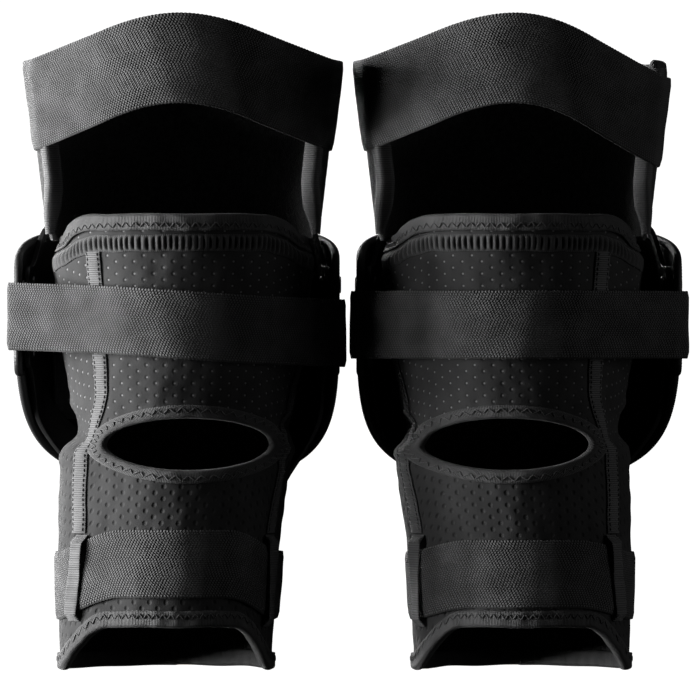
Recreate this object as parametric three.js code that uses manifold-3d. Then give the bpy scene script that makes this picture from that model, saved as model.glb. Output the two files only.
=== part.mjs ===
// A pair of hinged motorcycle knee guards, standing open as they are worn, in millimetres.
// +X is to the wearer's right, +Y to the front (the knee cups' side) and +Z up.
// The origin lies midway between the two knees, at the height of the knee joint.
// Each guard is made as the right-hand one, with its outer side at +X, and the left one is mirrored.

import * as THREE from "three";
import { mergeVertices } from "three/addons/utils/BufferGeometryUtils.js";
import Module from "manifold-3d";

const wasm = await Module();
wasm.setup();

// ---------------------------------------------------------------- driving dimensions
const GUARD_SPACING = 204; // between the centre planes of the two guards
const GAP = 0.3; // between pieces that touch

const SLEEVE_THICK = 3; // neoprene
const SLEEVE_IN = 0.5; // from the leg to the sleeve
const SLEEVE_OUT = SLEEVE_IN + SLEEVE_THICK;
const SLEEVE_TOP = 124.7; // upper edge of the sleeve behind the thigh
const SLEEVE_TOP_SIDE = 113; // and at its sides and front
const FLEX_TOP = 45; // the sleeve bends between these two heights
const FLEX_BOTTOM = -58;
const HEM_BACK = -114; // lower edge of the sleeve behind the calf
const HEM_FRONT = -141; // and at its sides and on the shin
const HEM_FOLD = 6; // how far the bindings reach over the sleeve's edges
const TRIM_OUT = SLEEVE_OUT + GAP; // what is sewn on the sleeve starts here
const TAPE_THICK = 1;
const TAPE_OFF = 5.4; // the seam tapes cross over the opening's binding
const TAPE_BOTTOM = -61.5;
const KEEPER_BOTTOM = { outer: -113.5, inner: -117 };
const KEEPER_TOP = -62.5;

const CUP_THICK = 3;
const CUP_HALF_WIDTH = 96;
const CUP_REAR = -14; // rear edge of the cup's wings
const CUP_REACH = 106; // from the rear edge to the front of the cup
const CUP_DOME = 11; // how far the front falls back at the cup's upper and lower edges
const CUP_MID = 46;
const CUP_HALF_HEIGHT = 74;
const CUP_CORNER = 8;
const CUP_TOP = 120; // the upper edge at the front
const CUP_TOP_FALL = 22; // and how much lower it is at the rear of the wings
const CUP_BOTTOM = -30;
const CUP_BOTTOM_RISE = 66;
const CUP_SQUARENESS = 2.4; // 2 is an ellipse; more makes the wings straighter
const CUP_ARC = 1.67; // millimetres round the cup for each degree

const PIVOT_Y = 2;
const THIGH_PIVOT_Z = 86;
const SHIN_PIVOT_Z = 48;
const EAR_OUT = -5; // outer face of the hinge ears, from the cup's outer face
const EAR_THICK = 3;
const EAR_RADIUS = 11;
const PIVOT_ANGLE = 80.5; // where the pivots lie round the cup
const EAR_REAR = PIVOT_ANGLE + 6.5;
const RIVET_SHAFT_R = 3;
const RIVET_HEAD_R = 5.5;

const PAD_IN = 1; // thigh pad, from the leg
const THIGH_PAD_THICK = 8;
const THIGH_PAD_TOP = 238;
const THIGH_SHELL_TOP = 233;
const KNEE_PAD_THICK = 9;
const SHELL_THICK = 3;
const SHIN_SHELL_TOP = -14;
const SHIN_SHELL_BOTTOM = -131;
const SHIN_PAD_IN = SLEEVE_OUT + 0.8;
const SHIN_PAD_THICK = 6.5;
const SHIN_PAD_EDGE = 1.5; // its thickness at its two rear edges

const STRAP_THICK = 1.8; // woven elastic
const THIGH_STRAP_WIDTH = 51;
const KNEE_STRAP_WIDTH = 38;
const SHIN_STRAP_WIDTH = 38;
const THIGH_STRAP = { end: 64, padRear: 114, inner: 193, back: 218.5 }; // two angles and two heights
const SHIN_STRAP = { end: 70, padRear: 80, side: -93 };
const KNEE_STRAP_Z = 62;
const KNEE_STRAP_END = 62;
const KNEE_STRAP_LIFT = 3; // from the cup's outer face, to pass over the rivets
const TAB_THICK = 2.4;
const THIGH_TAB_WIDTH = 46;
const TAB_WIDTH = 34;

// How each guard was pulled on: the heights of the thigh strap's outer end, of the knee strap's outer
// end above its middle, and of the shin strap behind the calf, and how far the sleeve stands off the
// calf at the outer and inner sides.
const WORN = {
  left: { thighOuter: 193, kneeRise: 5, shinBack: -79, slackOuter: 6, slackInner: 0 },
  right: { thighOuter: 183, kneeRise: 0, shinBack: -85, slackOuter: 3, slackInner: 5 },
};

const OPENING = { x: -8, z: -8.5, halfWidth: 51.5, halfHeight: 17 }; // behind the knee
const BINDING_WIDTH = 7;

// ---------------------------------------------------------------- small helpers
const { degToRad } = THREE.MathUtils;
const mix = THREE.MathUtils.lerp;
const smooth = (from, to, x) => {
  const t = THREE.MathUtils.clamp((x - from) / (to - from), 0, 1);
  return t * t * (3 - 2 * t);
};
const range = (from, to, steps) =>
  Array.from({ length: steps + 1 }, (_, i) => mix(from, to, i / steps));
const ovalRadius = (angle, halfWidth, halfDepth, power) => {
  const across = Math.abs(Math.sin(angle) / halfWidth) ** power;
  const along = Math.abs(Math.cos(angle) / halfDepth) ** power;
  return (across + along) ** (-1 / power);
};

// The surfaces that everything follows. An angle is in degrees round the leg: 0 is the front, 90 the
// outer side, 180 the back and -90 the inner side. off is the distance outside the surface.
function leg(angle, z, off) {
  const a = degToRad(angle);
  const halfWidth = 62.5 + 0.072 * z + 0.00014 * z * z;
  const halfDepth = 62 + 0.07 * z + 0.00013 * z * z;
  const x = mix(2, -3.5, smooth(-100, 0, z));
  const y = z < 0 ? 0.09 * z : -0.015 * z;
  const r = ovalRadius(a, halfWidth, halfDepth, 2) + off;
  return new THREE.Vector3(x + r * Math.sin(a), y + r * Math.cos(a), z);
}

// How far an angle is from the front, whichever side it is on.
const fromFront = (angle) => 180 - Math.abs(180 - ((angle + 360) % 360));

// What lies on the sleeve follows it where it stands off the calf.
const draped = (worn) => (angle, z, off) => {
  const slack = (angle + 360) % 360 < 180 ? worn.slackOuter : worn.slackInner;
  const sides = smooth(78, 100, fromFront(angle)) * smooth(150, 106, fromFront(angle));
  return leg(angle, z, off + slack * sides * smooth(-2, -24, z));
};

function cup(angle, z, off) {
  const a = degToRad(angle);
  const reach = CUP_REACH - CUP_DOME * ((z - CUP_MID) / CUP_HALF_HEIGHT) ** 2;
  const r = ovalRadius(a, CUP_HALF_WIDTH, reach, CUP_SQUARENESS) + off;
  return new THREE.Vector3(r * Math.sin(a), CUP_REAR + r * Math.cos(a), z);
}

// A plate that lies on the leg and, at its sides, runs into hinge ears inside the cup.
function eared(angle, z, off, earOff, legZ, cupZ) {
  const share = smooth(45, 62, Math.abs(angle)) * smooth(legZ, cupZ, z);
  return leg(angle, z, off).lerp(cup(angle, z, earOff), share);
}

// A closed panel: place(u, v, w) gives the point at u round the leg, v up and w outward, each 0 to 1.
function panel(uSteps, vSteps, place) {
  const geometry = new THREE.BoxGeometry(1, 1, 1, uSteps, vSteps, 1);
  const p = geometry.attributes.position;
  for (let i = 0; i < p.count; i++) {
    const q = place(0.5 - p.getX(i), 0.5 + p.getY(i), 0.5 + p.getZ(i));
    p.setXYZ(i, q.x, q.y, q.z);
  }
  return geometry;
}

// A closed ring round the leg. The section is a list of [outward, up] points that closes on itself,
// and place(angle, up, outward) puts each of them on the surface.
function ring(section, steps, place) {
  const loop = [...section, section[0]].map(([out, up]) => new THREE.Vector2(100 + out, up));
  const geometry = new THREE.LatheGeometry(loop, steps);
  const p = geometry.attributes.position;
  for (let i = 0; i < p.count; i++) {
    const out = Math.hypot(p.getX(i), p.getZ(i)) - 100;
    const angle = THREE.MathUtils.radToDeg(Math.atan2(p.getX(i), p.getZ(i)));
    const q = place(angle, p.getY(i), out);
    p.setXYZ(i, q.x, q.y, q.z);
  }
  return geometry;
}

// The section of a plain tube wall, with the given heights from bottom to top.
const wall = (inner, outer, heights) => [
  ...heights.map((z) => [inner, z]),
  ...heights.map((z) => [outer, z]).reverse(),
];

// The section of a tape folded over the sleeve's edge: over = 1 at an upper edge, -1 at a lower one.
const fold = (over) => {
  const inner = SLEEVE_IN - GAP;
  const outer = SLEEVE_OUT + GAP;
  const reach = -over * HEM_FOLD;
  const loop = [
    [inner - TAPE_THICK, reach],
    [inner, reach],
    [inner, over * GAP],
    [outer, over * GAP],
    [outer, reach],
    [outer + TAPE_THICK, reach],
    [outer + TAPE_THICK, over * (GAP + TAPE_THICK)],
    [inner - TAPE_THICK, over * (GAP + TAPE_THICK)],
  ];
  return over > 0 ? loop.reverse() : loop;
};

function asSolid(geometry) {
  const bare = geometry.clone();
  bare.deleteAttribute("normal");
  bare.deleteAttribute("uv");
  const merged = mergeVertices(bare, 1e-3);
  const mesh = new wasm.Mesh({
    numProp: 3,
    vertProperties: new Float32Array(merged.attributes.position.array),
    triVerts: new Uint32Array(merged.index.array),
  });
  return new wasm.Manifold(mesh);
}

function asGeometry(solid) {
  const mesh = solid.getMesh();
  return new THREE.BufferGeometry()
    .setAttribute("position", new THREE.BufferAttribute(mesh.vertProperties, 3))
    .setIndex(new THREE.BufferAttribute(mesh.triVerts, 1));
}

const cut = (geometry, ...tools) =>
  asGeometry(tools.reduce((left, tool) => left.subtract(asSolid(tool)), asSolid(geometry)));

// ---------------------------------------------------------------- outlines of the hard pieces
const cupTop = (angle) => CUP_TOP - CUP_TOP_FALL * (Math.abs(angle) / 90) ** 2.2;
const cupBottom = (angle) =>
  CUP_BOTTOM + CUP_BOTTOM_RISE * Math.min(1, Math.abs(angle) / 78) ** 2.8;
const cupCorner = (angle) => {
  const t = THREE.MathUtils.clamp((Math.abs(angle) - 84) / 6, 0, 1);
  return CUP_CORNER * (1 - Math.sqrt(1 - t * t));
};

// Half the height of an ear, which ends behind its pivot in a half circle.
const earHalf = (angle) => {
  const past = Math.max(0, Math.abs(angle) - PIVOT_ANGLE) * CUP_ARC;
  return Math.sqrt(EAR_RADIUS ** 2 - past ** 2);
};

// Places the columns of a plate closer together towards its two ends.
const spread = (u) => Math.sin(Math.PI * (u - 0.5));

const rivetHole = (z) =>
  [1, -1].map((side) =>
    new THREE.CylinderGeometry(RIVET_SHAFT_R + GAP, RIVET_SHAFT_R + GAP, 30, 10)
      .rotateZ(Math.PI / 2)
      .translate(side * 90, PIVOT_Y, z),
  );

// ---------------------------------------------------------------- thigh section
function thighShell() {
  const top = (angle) => {
    const plate = THIGH_SHELL_TOP - 14 * smooth(14, 36, Math.abs(angle));
    const arm = mix(150, THIGH_PIVOT_Z + earHalf(angle), smooth(44, 74, Math.abs(angle)));
    return mix(plate, arm, smooth(34, 44, Math.abs(angle)));
  };
  const bottom = (angle) =>
    mix(134, THIGH_PIVOT_Z - earHalf(angle), smooth(50, 76, Math.abs(angle)));
  const plate = panel(32, 6, (u, v, w) => {
    const angle = EAR_REAR * spread(u);
    const z = mix(bottom(angle), top(angle), v);
    const off = PAD_IN + THIGH_PAD_THICK + 1 + SHELL_THICK * w;
    const earOff = EAR_OUT - EAR_THICK * (1 - w);
    return eared(angle, z, off, earOff, 140, 118);
  });
  return cut(plate, ...rivetHole(THIGH_PIVOT_Z));
}

function thighPad() {
  const rear = (z) => mix(84, 112, smooth(112, 170, z));
  return panel(22, 7, (u, v, w) => {
    const side = 2 * u - 1;
    const bottom = mix(129, 108, smooth(0.78, 0.92, Math.abs(side)));
    const top = THIGH_PAD_TOP - 22 * smooth(0.12, 0.6, Math.abs(side));
    const z = mix(bottom, top, v);
    const off = PAD_IN + THIGH_PAD_THICK * w;
    const earOff = EAR_OUT - EAR_THICK - 0.7 - 2.6 * (1 - w);
    return eared(side * rear(z), z, off, earOff, 140, 118);
  });
}

// ---------------------------------------------------------------- knee section
function kneeCup() {
  const shell = panel(32, 6, (u, v, w) => {
    const angle = 90 * spread(u);
    const low = cupBottom(angle) + cupCorner(angle);
    const high = cupTop(angle) - cupCorner(angle);
    return cup(angle, mix(low, high, v), -CUP_THICK * (1 - w));
  });
  return cut(shell, ...rivetHole(THIGH_PIVOT_Z), ...rivetHole(SHIN_PIVOT_Z));
}

// A rubber bead round the cup's whole edge, with a butt joint at the middle of the lower edge.
function cupEdgeTrim() {
  const radius = 2.6;
  const away = radius + 1.8;
  const half = [];
  for (let angle = 0; angle <= 84; angle += 6) half.push([angle, cupBottom(angle)]);
  for (let step = 1; step < 4; step++) {
    const angle = 84 + 2 * step;
    half.push([angle, cupBottom(angle) + cupCorner(angle)]);
  }
  half.push([90, cupBottom(90) + CUP_CORNER + 2], [90, 62], [90, cupTop(90) - CUP_CORNER - 2]);
  for (let step = 3; step > 0; step--) {
    const angle = 84 + 2 * step;
    half.push([angle, cupTop(angle) - cupCorner(angle)]);
  }
  for (let angle = 84; angle >= 0; angle -= 6) half.push([angle, cupTop(angle)]);
  const mirrored = half.slice(0, -1).map(([angle, z]) => [-angle, z]).reverse();
  const outline = [...half, ...mirrored];
  const points = outline.map(([angle, z], i) => {
    const [beforeAngle, beforeZ] = outline[Math.max(i - 1, 0)];
    const [afterAngle, afterZ] = outline[Math.min(i + 1, outline.length - 1)];
    const run = new THREE.Vector2((afterAngle - beforeAngle) * CUP_ARC, afterZ - beforeZ);
    run.normalize();
    return cup(angle + (away * run.y) / CUP_ARC, z - away * run.x, -CUP_THICK / 2);
  });
  const path = new THREE.CatmullRomCurve3(points, false, "centripetal");
  points[0].x += GAP;
  points[points.length - 1].x -= GAP;
  const section = new THREE.Shape().absarc(0, 0, radius, 0, 2 * Math.PI);
  return new THREE.ExtrudeGeometry(section, { steps: 66, curveSegments: 3, extrudePath: path });
}

const kneePad = () =>
  panel(16, 5, (u, v, w) => {
    const angle = mix(-51, 51, u);
    const z = mix(8, 94, v);
    return cup(angle, z, -CUP_THICK - 1.2 - KNEE_PAD_THICK * (1 - w));
  });

// A shouldered rivet along X, from its head outside the cup to its head inside the ear.
function pivotRivet(side, z) {
  const face = cup(PIVOT_ANGLE, z, 0).x;
  const earFace = face + EAR_OUT - GAP;
  const profile = [
    [0, face + 2.4],
    [RIVET_HEAD_R - 1.5, face + 2.4],
    [RIVET_HEAD_R, face + 1.2],
    [RIVET_HEAD_R, face + 0.7],
    [RIVET_SHAFT_R, face + 0.7],
    [RIVET_SHAFT_R, earFace - EAR_THICK - 1],
    [RIVET_HEAD_R, earFace - EAR_THICK - 1],
    [RIVET_HEAD_R, earFace - EAR_THICK - 2.6],
    [0, earFace - EAR_THICK - 2.6],
  ].map(([radius, along]) => new THREE.Vector2(radius, along));
  return new THREE.LatheGeometry(profile.reverse(), 12)
    .rotateZ(-side * (Math.PI / 2))
    .translate(0, PIVOT_Y, z);
}

// ---------------------------------------------------------------- sleeve
const sleeveTop = (angle) =>
  mix(SLEEVE_TOP_SIDE, SLEEVE_TOP, smooth(98, 140, fromFront(angle)));
const hemHeight = (angle) => mix(HEM_FRONT, HEM_BACK, smooth(100, 142, fromFront(angle)));

const sleeveUpper = () =>
  ring(wall(SLEEVE_IN, SLEEVE_OUT, [0, 0.5, 1]), 28, (angle, up, off) =>
    leg(angle, mix(FLEX_TOP + GAP, sleeveTop(angle), up), off),
  );

const topHem = () =>
  ring(fold(1), 28, (angle, up, off) => leg(angle, sleeveTop(angle) + up, off));

const gatherBand = () =>
  panel(24, 1, (u, v, w) => {
    const angle = mix(85, 275, u);
    return leg(angle, sleeveTop(angle) + mix(-18.5, -10.5, v), TRIM_OUT + 1.6 * w);
  });

// An oval prism through the back of the sleeve, this much larger than the opening.
function ovalCutter(extra) {
  const outline = new THREE.Shape().absellipse(
    OPENING.x,
    OPENING.z,
    OPENING.halfWidth + extra,
    OPENING.halfHeight + extra,
    0,
    2 * Math.PI,
  );
  return new THREE.ExtrudeGeometry(outline, { depth: 90, curveSegments: 11, bevelEnabled: false })
    .rotateX(Math.PI / 2);
}

const sleeveFlex = (surface) =>
  cut(
    ring(wall(SLEEVE_IN, SLEEVE_OUT, [FLEX_BOTTOM, -24, -13, -2, FLEX_TOP]), 28, surface),
    ovalCutter(0),
  );

function openingBinding(surface) {
  const around = panel(24, 5, (u, v, w) =>
    surface(mix(85, 275, u), mix(-35, 20, v), TRIM_OUT + 0.1 + TAPE_THICK * w),
  );
  const loop = asSolid(around).intersect(asSolid(ovalCutter(BINDING_WIDTH)));
  return asGeometry(loop.subtract(asSolid(ovalCutter(0.2))));
}

// The two ribbed tapes over the seams beside the back panel lean apart towards the foot.
const tapeAngle = {
  outer: (z) => 180 - mix(57, 44, smooth(-15, 25, z)),
  inner: (z) => 180 + mix(64, 84, smooth(-70, 110, z)),
};

function seamTape(which, surface) {
  const top = sleeveTop(tapeAngle[which](100)) - 20;
  const halfWidth = 4.6; // degrees
  return panel(2, 12, (u, v, w) => {
    const z = mix(TAPE_BOTTOM, top, v);
    return surface(tapeAngle[which](z) + mix(-halfWidth, halfWidth, u), z, TAPE_OFF + TAPE_THICK * w);
  });
}

const sleeveLower = (surface) =>
  ring(wall(SLEEVE_IN, SLEEVE_OUT, [0, 0.5, 1]), 28, (angle, up, off) =>
    surface(angle, mix(hemHeight(angle), FLEX_BOTTOM - GAP, up), off),
  );

const bottomHem = (surface) =>
  ring(fold(-1), 28, (angle, up, off) => surface(angle, hemHeight(angle) + up, off));

// A webbing loop that stands off the sleeve so that the shin strap runs under it.
const keeper = (which, surface) =>
  panel(1, 12, (u, v, w) => {
    const z = mix(KEEPER_BOTTOM[which], KEEPER_TOP, v);
    const arch = smooth(0, 0.08, v) * smooth(1, 0.92, v);
    const off = TRIM_OUT + 3.1 * arch + 1.2 * w;
    return surface(tapeAngle[which](TAPE_BOTTOM) + mix(-3.7, 3.7, u), z, off);
  });

// ---------------------------------------------------------------- shin section
const shinPadThick = (angle) => mix(SHIN_PAD_THICK, SHIN_PAD_EDGE, smooth(46, 76, Math.abs(angle)));
const onShinPad = (angle, z, off) => leg(angle, z, SHIN_PAD_IN + shinPadThick(angle) + off);

function shinPlate() {
  const top = (angle) => {
    return mix(SHIN_SHELL_TOP, SHIN_PIVOT_Z + earHalf(angle), smooth(44, 74, Math.abs(angle)));
  };
  const bottom = (angle) => {
    const plate = SHIN_SHELL_BOTTOM + 12 * smooth(10, 40, Math.abs(angle));
    const arm = mix(-50, SHIN_PIVOT_Z - earHalf(angle), smooth(48, 78, Math.abs(angle)));
    return mix(plate, arm, smooth(38, 48, Math.abs(angle)));
  };
  const plate = panel(32, 7, (u, v, w) => {
    const angle = EAR_REAR * spread(u);
    const z = mix(bottom(angle), top(angle), v);
    const off = SHIN_PAD_IN + SHIN_PAD_THICK + 0.5 + SHELL_THICK * w;
    const earOff = EAR_OUT - EAR_THICK * (1 - w);
    return eared(angle, z, off, earOff, -42, 12);
  });
  return cut(plate, ...rivetHole(SHIN_PIVOT_Z));
}

const shinPad = () =>
  panel(20, 6, (u, v, w) => {
    const side = 2 * u - 1;
    const low = SHIN_SHELL_BOTTOM + 8 * smooth(0.5, 1, Math.abs(side));
    const high = -16 - 22 * smooth(0.4, 1, Math.abs(side));
    const angle = 78 * side;
    return leg(angle, mix(low, high, v), SHIN_PAD_IN + shinPadThick(angle) * w);
  });

// ---------------------------------------------------------------- straps
// A strap runs through stations, from its outer end round the back to its inner end. Each has the
// height of the strap's middle, and place(z, out), the point at that height and that far outside
// the strap's inner face.
const station = (surface, angle, middle, off) => ({
  middle,
  place: (z, out) => surface(angle, z, off + out),
});

function band(stations, width) {
  const last = stations.length - 1;
  return panel(last, 3, (u, v, w) => {
    const { middle, place } = stations[Math.round(u * last)];
    return place(middle + mix(-width / 2, width / 2, v), STRAP_THICK * w);
  });
}

function thighStrap(outerHeight) {
  const { end, padRear, inner, back } = THIGH_STRAP;
  const height = (angle) => {
    const side = angle < 180 ? outerHeight : inner;
    return mix(side, back, smooth(110, 180, fromFront(angle)));
  };
  const onPad = PAD_IN + THIGH_PAD_THICK + 0.5;
  const outer = range(end, padRear, 8);
  const stations = [
    ...outer.map((angle) => station(leg, angle, height(angle), onPad)),
    ...range(146, 214, 10).map((angle) => station(leg, angle, height(angle), PAD_IN)),
    ...outer.reverse().map((angle) => station(leg, 360 - angle, inner, onPad)),
  ];
  return band(stations, THIGH_STRAP_WIDTH);
}

// The knee strap's outer side is this much higher than its middle, and its inner side lower.
function kneeStrap(rise) {
  const height = (angle) => KNEE_STRAP_Z + rise * Math.cos(degToRad(angle - 90));
  const onCup = (angle, side) =>
    station(cup, side * angle, KNEE_STRAP_Z + side * rise, KNEE_STRAP_LIFT);
  const corner = (side) => ({
    middle: KNEE_STRAP_Z + side * rise,
    place: (z, out) => {
      const rear = cup(side * 90, z, KNEE_STRAP_LIFT);
      return rear.add(new THREE.Vector3(side * out * 0.9, -7.2 - out * 0.6, 0));
    },
  });
  const stations = [
    ...range(KNEE_STRAP_END, 90, 5).map((angle) => onCup(angle, 1)),
    corner(1),
    ...range(146, 217, 12).map((angle) => station(leg, angle, height(angle), 6.6)),
    corner(-1),
    ...range(90, KNEE_STRAP_END, 5).map((angle) => onCup(angle, -1)),
  ];
  return band(stations, KNEE_STRAP_WIDTH);
}

function shinStrap(backHeight, surface) {
  const { end, padRear, side } = SHIN_STRAP;
  const height = (angle) => mix(side, backHeight, smooth(104, 150, fromFront(angle)));
  const outer = range(end, padRear, 3);
  const stations = [
    ...outer.map((angle) => station(onShinPad, angle, side, 0.4)),
    ...range(94, 266, 24).map((angle) => station(surface, angle, height(angle), SLEEVE_OUT + 0.7)),
    ...outer.reverse().map((angle) => station(onShinPad, -angle, side, 0.4)),
  ];
  return band(stations, SHIN_STRAP_WIDTH);
}

// A stiff hook tab that carries on from a strap's outer end towards the front.
function tab(surface, root, tip, z, width, off) {
  return panel(6, 4, (u, v, w) => {
    const angle = mix(tip, root, u);
    const rounded = Math.sqrt(Math.max(0, 1 - (1 - Math.min(1, u / 0.34)) ** 2));
    const half = (width / 2) * mix(0.62, 1, rounded);
    return surface(angle, z + mix(-half, half, v), off + TAB_THICK * w);
  });
}

const tabs = {
  thigh: (height) =>
    tab(leg, THIGH_STRAP.end - 0.4, 42, height, THIGH_TAB_WIDTH, PAD_IN + THIGH_PAD_THICK + 0.5),
  knee: (rise) =>
    tab(cup, KNEE_STRAP_END - 0.4, 41, KNEE_STRAP_Z + rise, TAB_WIDTH, KNEE_STRAP_LIFT),
  shin: () => tab(onShinPad, SHIN_STRAP.end - 0.5, 51, SHIN_STRAP.side, TAB_WIDTH, 0.4),
};

const cupLoopPatch = (rise) =>
  panel(8, 2, (u, v, w) => {
    const z = KNEE_STRAP_Z + rise + mix(-21, 21, v);
    return cup(mix(34, 68, u), z, 0.5 + 2 * w);
  });

// Holds the knee strap's fixed end to the cup, on the inner side.
function strapRivet(rise) {
  const at = cup(-66, KNEE_STRAP_Z - rise, KNEE_STRAP_LIFT + STRAP_THICK + 0.7);
  const direction = new THREE.Vector3(at.x, at.y - CUP_REAR, 0).normalize();
  const profile = [
    [0, 0],
    [5, 0],
    [5, 0.8],
    [3.4, 1.8],
    [0, 1.8],
  ].map(([radius, along]) => new THREE.Vector2(radius, along));
  const turn = new THREE.Quaternion().setFromUnitVectors(new THREE.Vector3(0, 1, 0), direction);
  return new THREE.LatheGeometry(profile, 12).applyQuaternion(turn).translate(at.x, at.y, at.z);
}

// ---------------------------------------------------------------- materials
const material = (color, roughness, metalness = 0) =>
  new THREE.MeshStandardMaterial({ color, roughness, metalness });
const hardShell = material(0x141414, 0.38);
const foam = material(0x1b1b1b, 0.85);
const rubber = material(0x181818, 0.6);
const neoprene = material(0x242424, 0.9);
const webbing = material(0x1e1e1e, 0.8);
const grosgrain = material(0x2c2c2c, 0.75);
const loopFabric = material(0x222222, 0.95);
const hookTab = material(0x171717, 0.55);
const steel = material(0x2a2a2a, 0.35, 0.9);

// ---------------------------------------------------------------- one guard, and the pair
function guard(side) {
  const { thighOuter, kneeRise, shinBack } = WORN[side];
  const surface = draped(WORN[side]);
  const group = new THREE.Group();
  const add = (name, geometry, itsMaterial) => {
    const mesh = new THREE.Mesh(geometry, itsMaterial);
    mesh.name = `${side}_${name}`;
    group.add(mesh);
  };
  add("thigh_shell", thighShell(), hardShell);
  add("thigh_pad", thighPad(), loopFabric);
  add("thigh_strap", thighStrap(thighOuter), webbing);
  add("thigh_strap_tab", tabs.thigh(thighOuter), hookTab);

  add("knee_cup", kneeCup(), hardShell);
  add("cup_edge_trim", cupEdgeTrim(), rubber);
  add("knee_pad", kneePad(), foam);
  add("thigh_pivot_outer", pivotRivet(1, THIGH_PIVOT_Z), steel);
  add("thigh_pivot_inner", pivotRivet(-1, THIGH_PIVOT_Z), steel);
  add("shin_pivot_outer", pivotRivet(1, SHIN_PIVOT_Z), steel);
  add("shin_pivot_inner", pivotRivet(-1, SHIN_PIVOT_Z), steel);
  add("knee_strap", kneeStrap(kneeRise), webbing);
  add("knee_strap_tab", tabs.knee(kneeRise), hookTab);
  add("cup_loop_patch", cupLoopPatch(kneeRise), loopFabric);
  add("knee_strap_rivet", strapRivet(kneeRise), steel);

  add("sleeve_upper", sleeveUpper(), neoprene);
  add("top_hem", topHem(), grosgrain);
  add("gather_band", gatherBand(), webbing);
  add("sleeve_flex", sleeveFlex(surface), neoprene);
  add("opening_binding", openingBinding(surface), grosgrain);
  add("seam_tape_outer", seamTape("outer", surface), grosgrain);
  add("seam_tape_inner", seamTape("inner", surface), grosgrain);
  add("sleeve_lower", sleeveLower(surface), neoprene);
  add("bottom_hem", bottomHem(surface), grosgrain);

  add("shin_plate", shinPlate(), hardShell);
  add("shin_pad", shinPad(), foam);
  add("shin_strap", shinStrap(shinBack, surface), webbing);
  add("shin_strap_tab", tabs.shin(), hookTab);
  add("keeper_outer", keeper("outer", surface), grosgrain);
  add("keeper_inner", keeper("inner", surface), grosgrain);
  return group;
}

const right = guard("right");
right.position.x = GUARD_SPACING / 2;

const left = guard("left");
left.scale.x = -1;
left.position.x = -GUARD_SPACING / 2;

const kneeGuards = new THREE.Group();
kneeGuards.add(left, right);

export default kneeGuards;
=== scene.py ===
"""A pair of hinged motorcycle knee guards, seen from behind as they are worn.

Shapes are worked out in millimetres in each guard's own frame, with +X towards its outer side, and are
placed and mirrored when a mesh is made. Angles are in degrees round the leg: 0 is the front, 90 the
outer side, 180 the back and 270 the inner side.
"""

import bpy
import numpy as np
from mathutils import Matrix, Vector


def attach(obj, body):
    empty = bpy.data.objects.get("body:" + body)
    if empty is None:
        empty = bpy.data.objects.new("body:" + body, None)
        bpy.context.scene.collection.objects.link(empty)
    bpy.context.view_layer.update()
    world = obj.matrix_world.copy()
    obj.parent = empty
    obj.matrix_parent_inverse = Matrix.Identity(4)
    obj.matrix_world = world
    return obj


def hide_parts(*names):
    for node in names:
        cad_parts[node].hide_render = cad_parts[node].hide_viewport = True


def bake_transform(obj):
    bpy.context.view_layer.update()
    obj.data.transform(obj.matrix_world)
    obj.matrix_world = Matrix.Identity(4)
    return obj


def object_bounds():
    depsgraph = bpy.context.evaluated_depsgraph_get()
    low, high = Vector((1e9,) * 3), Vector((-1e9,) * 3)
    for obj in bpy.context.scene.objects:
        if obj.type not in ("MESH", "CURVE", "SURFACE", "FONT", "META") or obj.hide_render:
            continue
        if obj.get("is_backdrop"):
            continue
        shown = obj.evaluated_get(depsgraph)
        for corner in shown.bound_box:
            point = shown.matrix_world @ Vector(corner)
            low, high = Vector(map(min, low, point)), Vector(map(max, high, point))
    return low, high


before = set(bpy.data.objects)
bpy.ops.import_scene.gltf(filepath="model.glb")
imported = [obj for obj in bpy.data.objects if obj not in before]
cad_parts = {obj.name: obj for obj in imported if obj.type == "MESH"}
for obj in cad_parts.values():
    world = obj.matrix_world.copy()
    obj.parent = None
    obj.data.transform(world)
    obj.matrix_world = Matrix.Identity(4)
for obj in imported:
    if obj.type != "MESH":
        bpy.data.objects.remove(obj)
cad_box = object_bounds()

MM = 0.001
HALF_SPACING = 102
SIDES = {"left": -1, "right": 1}

# ---------------------------------------------------------------- dimensions, in millimetres
SLEEVE_OUT, SLEEVE_THICK, SLEEVE_GIRTH = 3.5, 3.0, 425
SLEEVE_TOP_BACK, SLEEVE_TOP_SIDE = 124.7, 113
HEM_BACK, HEM_FRONT = -114, -141
CUP_HALF_WIDTH, CUP_REAR, CUP_REACH, CUP_DOME = 96, -14, 106, 11
CUP_MID, CUP_HALF_HEIGHT, CUP_CORNER, CUP_SQUARENESS = 46, 74, 8, 2.4
CUP_THICK, CUP_ARC = 3, 1.67
CUP_TOP, CUP_TOP_FALL, CUP_BOTTOM, CUP_BOTTOM_RISE = 120, 22, -30, 66
EAR_OUT, EAR_THICK, EAR_RADIUS, PIVOT_ANGLE = -5, 3, 11, 80.5
PIVOT_Y, THIGH_PIVOT_Z, SHIN_PIVOT_Z = 2, 86, 48
STRAP_THICK, STRAP_WIDTH, THIGH_STRAP_WIDTH = 1.8, 38, 51
THIGH_STRAP_BACK, THIGH_STRAP_INNER, SHIN_STRAP_SIDE = 218.5, 193, -93
TAB_WIDTH, THIGH_TAB_WIDTH = 34, 46
THIGH_PAD_TOP, THIGH_PAD_FALL, THIGH_PAD_OUT, THIGH_SHELL_TOP = 238, 22, 9, 233
SHIN_SHELL_TOP, SHIN_BOTTOM = -14, -131
SHIN_PAD_IN, SHIN_PAD_THICK, SHIN_PAD_EDGE = 4.3, 6.5, 1.5
KEEPER_TOP, KEEPER_BOTTOM, TAPE_BOTTOM = -62.5, {"outer": -113.5, "inner": -117}, -61.5
KNEE_STRAP_Z, KNEE_STRAP_LIFT = 62, 3
OPENING_X, OPENING_Z, OPENING_HALF_WIDTH, OPENING_HALF_HEIGHT = -8, -8.5, 51.5, 17
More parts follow.
